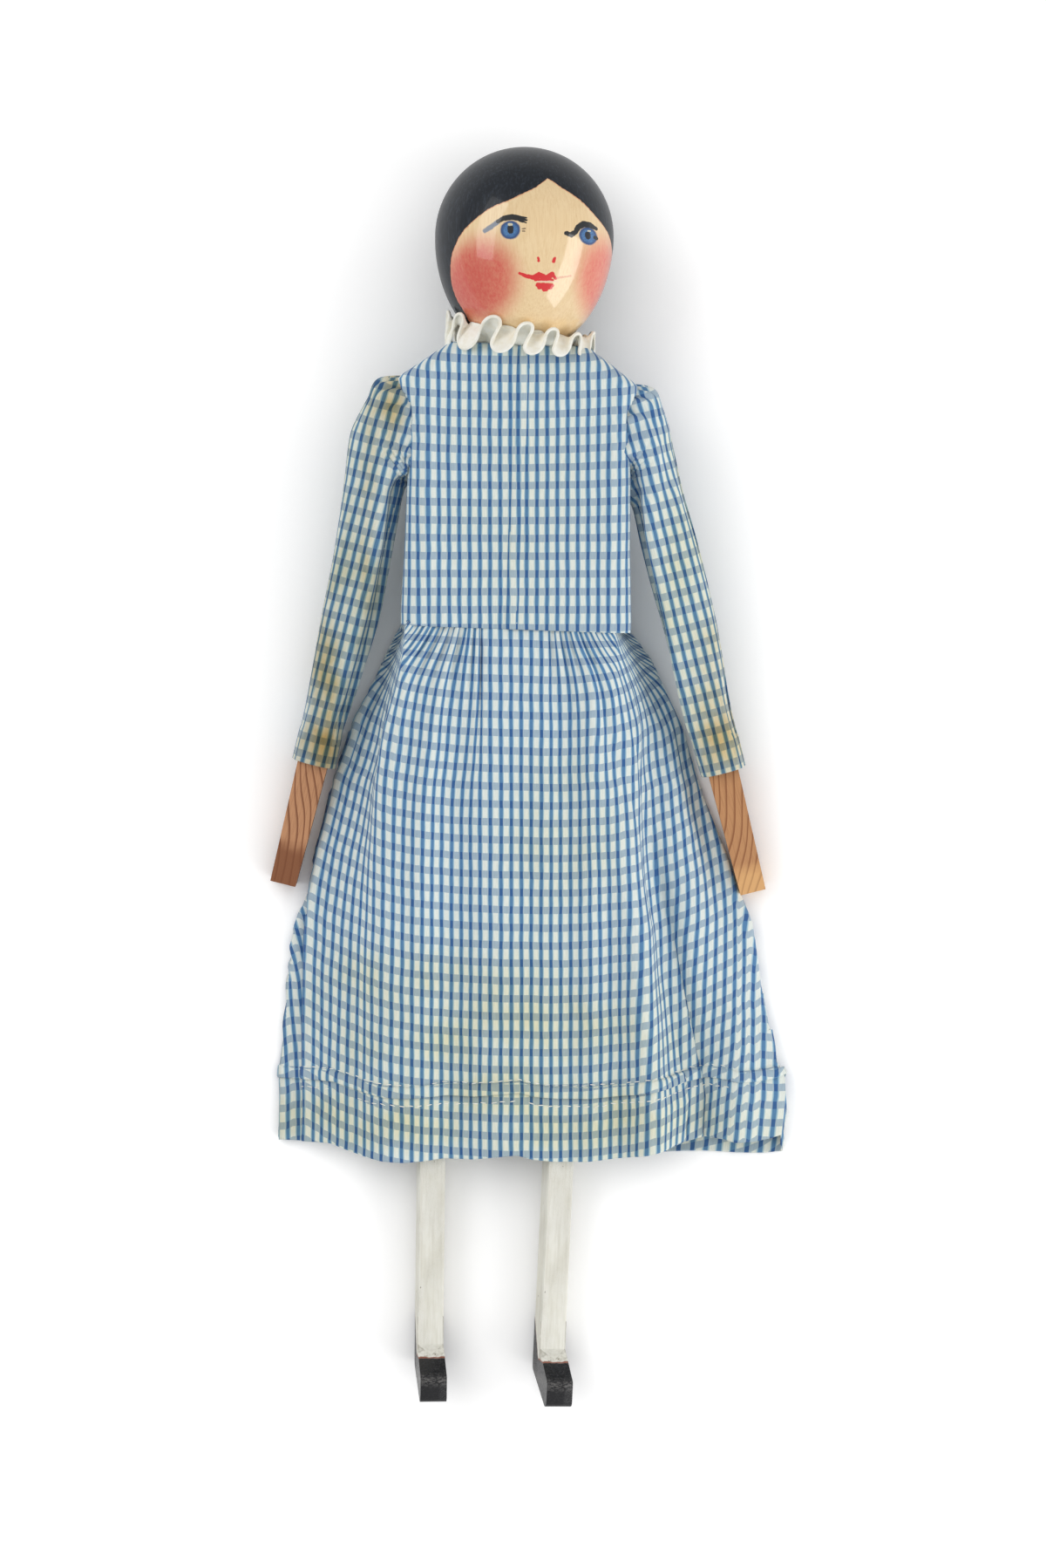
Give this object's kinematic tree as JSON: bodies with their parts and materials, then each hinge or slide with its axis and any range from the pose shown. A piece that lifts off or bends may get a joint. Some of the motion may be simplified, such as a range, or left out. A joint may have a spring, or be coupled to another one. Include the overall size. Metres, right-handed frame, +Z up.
{
  "type": "peg wooden doll",
  "caption": "Jointed wooden peg doll with a painted round head, square limbs and a long checked cotton dress, lying on its back.",
  "frame": {"origin": "on the table under the middle of the hip line", "axes": "+Z up out of the chest, +Y from the feet to the head, +X towards the left arm of the doll"},
  "size_m": [0.1887, 0.4482, 0.0636],
  "materials": {
    "painted_head": "turned wood with painted hair, cheeks, eyes and mouth, thin satin varnish",
    "body_wood": "planed wood",
    "arm_wood": "bare red-brown wood, rubbed smooth",
    "peg_wood": "plain dowel",
    "leg_paint": "off-white paint on wood with black gloss paint on the shoes, scuffed",
    "checked_cotton": "plain-weave cotton in cream with blue checks",
    "frill_cotton": "plain cream cotton, pleated"
  },
  "bodies": {
    "torso": {"torso": "body_wood", "neck_dowel": "peg_wood", "hip_peg_left": "peg_wood", "hip_peg_right": "peg_wood", "bodice": "checked_cotton", "skirt": "checked_cotton", "neck_frill": "frill_cotton"},
    "head": {"head": "painted_head"},
    "upper_arm_left": {"upper_arm_left": "arm_wood", "shoulder_peg_left": "peg_wood", "elbow_peg_left": "peg_wood", "sleeve_left": "checked_cotton"},
    "forearm_left": {"forearm_left": "arm_wood"},
    "thigh_left": {"thigh_left": "leg_paint", "knee_peg_left": "peg_wood"},
    "lower_leg_left": {"lower_leg_left": "leg_paint"},
    "upper_arm_right": {"upper_arm_right": "arm_wood", "shoulder_peg_right": "peg_wood", "elbow_peg_right": "peg_wood", "sleeve_right": "checked_cotton"},
    "forearm_right": {"forearm_right": "arm_wood"},
    "thigh_right": {"thigh_right": "leg_paint", "knee_peg_right": "peg_wood"},
    "lower_leg_right": {"lower_leg_right": "leg_paint"}
  },
  "joints": [
    {"name": "head_turn", "type": "hinge", "parent": "torso", "child": "head", "pos_m": [0, 0.18842, 0.03185], "axis": [0, 0.9956, 0.0935], "continuous": true},
    {"name": "shoulder_left", "type": "hinge", "parent": "torso", "child": "upper_arm_left", "pos_m": [0.0418, 0.12644, 0.02602], "axis": [-1, 0, 0], "range_deg": [-20, 170], "deforming": ["sleeve_left"]},
    {"name": "elbow_left", "type": "hinge", "parent": "upper_arm_left", "child": "forearm_left", "pos_m": [0.06469, 0.04832, 0.01617], "axis": [-0.9602, -0.277, -0.0349], "range_deg": [0, 90], "deforming": ["sleeve_left"]},
    {"name": "hip_left", "type": "hinge", "parent": "torso", "child": "thigh_left", "pos_m": [0.02545, 0, 0.01415], "axis": [-0.9743, 0.0014, 0.2252], "range_deg": [0, 90], "deforming": ["skirt"]},
    {"name": "knee_left", "type": "hinge", "parent": "thigh_left", "child": "lower_leg_left", "pos_m": [0.02431, -0.10891, 0.00989], "axis": [0.9743, -0.0014, -0.2252], "range_deg": [0, 90], "deforming": ["skirt"]},
    {"name": "shoulder_right", "type": "hinge", "parent": "torso", "child": "upper_arm_right", "pos_m": [-0.0418, 0.12644, 0.02602], "axis": [-1, 0, 0], "range_deg": [-20, 170], "deforming": ["sleeve_right"]},
    {"name": "elbow_right", "type": "hinge", "parent": "upper_arm_right", "child": "forearm_right", "pos_m": [-0.05912, 0.0469, 0.01615], "axis": [-0.9774, 0.2096, 0.026], "range_deg": [0, 90], "deforming": ["sleeve_right"]},
    {"name": "hip_right", "type": "hinge", "parent": "torso", "child": "thigh_right", "pos_m": [-0.02545, 0, 0.01415], "axis": [-0.9922, -0.0292, 0.1208], "range_deg": [0, 90], "deforming": ["skirt"]},
    {"name": "knee_right", "type": "hinge", "parent": "thigh_right", "child": "lower_leg_right", "pos_m": [-0.02279, -0.10888, 0.00968], "axis": [0.9922, 0.0292, -0.1208], "range_deg": [0, 90], "deforming": ["skirt"]}
  ]
}
